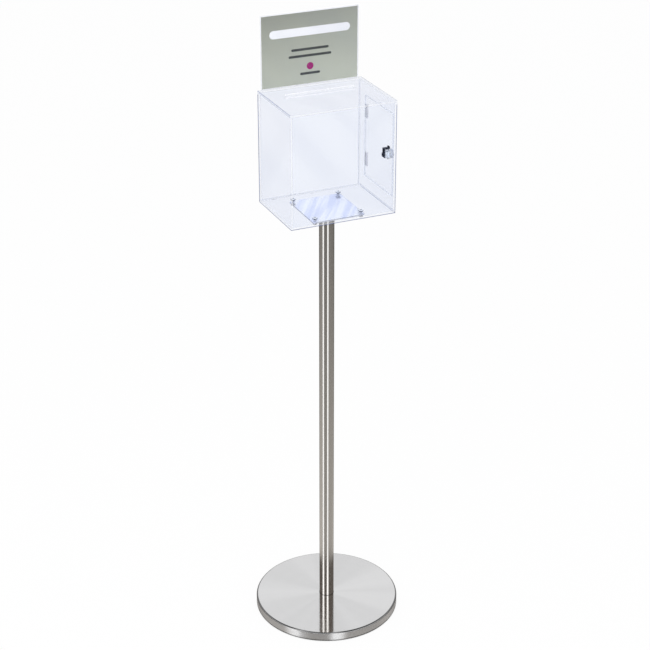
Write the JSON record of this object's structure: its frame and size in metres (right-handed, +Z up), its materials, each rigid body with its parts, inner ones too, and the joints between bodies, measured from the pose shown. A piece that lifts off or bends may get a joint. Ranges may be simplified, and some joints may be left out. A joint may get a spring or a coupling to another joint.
{
  "type": "ballot box",
  "caption": "Clear acrylic ballot box with a lid slot, sign pocket and lockable side door, on a slim round post with a round weighted base.",
  "frame": {"origin": "on the floor, under the axis of the round post and base", "axes": "+Z up along the post; -Y is the front, the wide clear wall; +X is the side with the lockable door; the sign stands at the rear, +Y"},
  "size_m": [0.32, 0.32, 1.361],
  "materials": {
    "acrylic": "clear cast acrylic sheet with polished edges",
    "stainless": "fine brushed stainless steel",
    "plate_steel": "stainless plate, pale and streaky under the clear floor",
    "cast_iron": "rough cast iron, painted dark grey",
    "rubber": "matt black rubber sheet",
    "zinc_steel": "bright zinc-plated steel",
    "hinge_steel": "satin steel",
    "chrome": "bright chrome plate",
    "card": "satin grey-green printed card"
  },
  "bodies": {
    "stand_and_box": {"base_pad": "rubber", "base_weight": "cast_iron", "base_cover": "stainless", "base_bolt": "zinc_steel", "foot_plug": "zinc_steel", "post_tube": "stainless", "top_plate": "plate_steel", "plate_screws": "chrome", "plate_nuts": "zinc_steel", "bottom_panel": "acrylic", "top_panel": "acrylic", "front_panel": "acrylic", "back_panel": "acrylic", "left_panel": "acrylic", "right_panel": "acrylic", "hinge_wall_leaves": "hinge_steel", "hinge_pins": "zinc_steel", "sign_holder": "acrylic"},
    "door": {"door_panel": "acrylic", "hinge_door_leaves": "hinge_steel", "lock_body": "chrome", "lock_nut": "chrome"},
    "lock_plug": {"lock_core": "chrome", "lock_cam": "zinc_steel", "cam_screw": "zinc_steel"},
    "sign": {"sign_card": "card"}
  },
  "joints": [
    {"name": "door_hinge", "type": "hinge", "parent": "stand_and_box", "child": "door", "pos_m": [0.1173, 0.0565, 1.08825], "axis": [0, 0, 1], "range_deg": [0, 180]},
    {"name": "lock_turn", "type": "hinge", "parent": "door", "child": "lock_plug", "pos_m": [0.11, -0.0615, 1.09075], "axis": [1, 0, 0], "range_deg": [0, 90]},
    {"name": "sign_slide", "type": "slide", "parent": "stand_and_box", "child": "sign", "axis": [0, 0, 1], "range_m": [0, 0.14]}
  ]
}
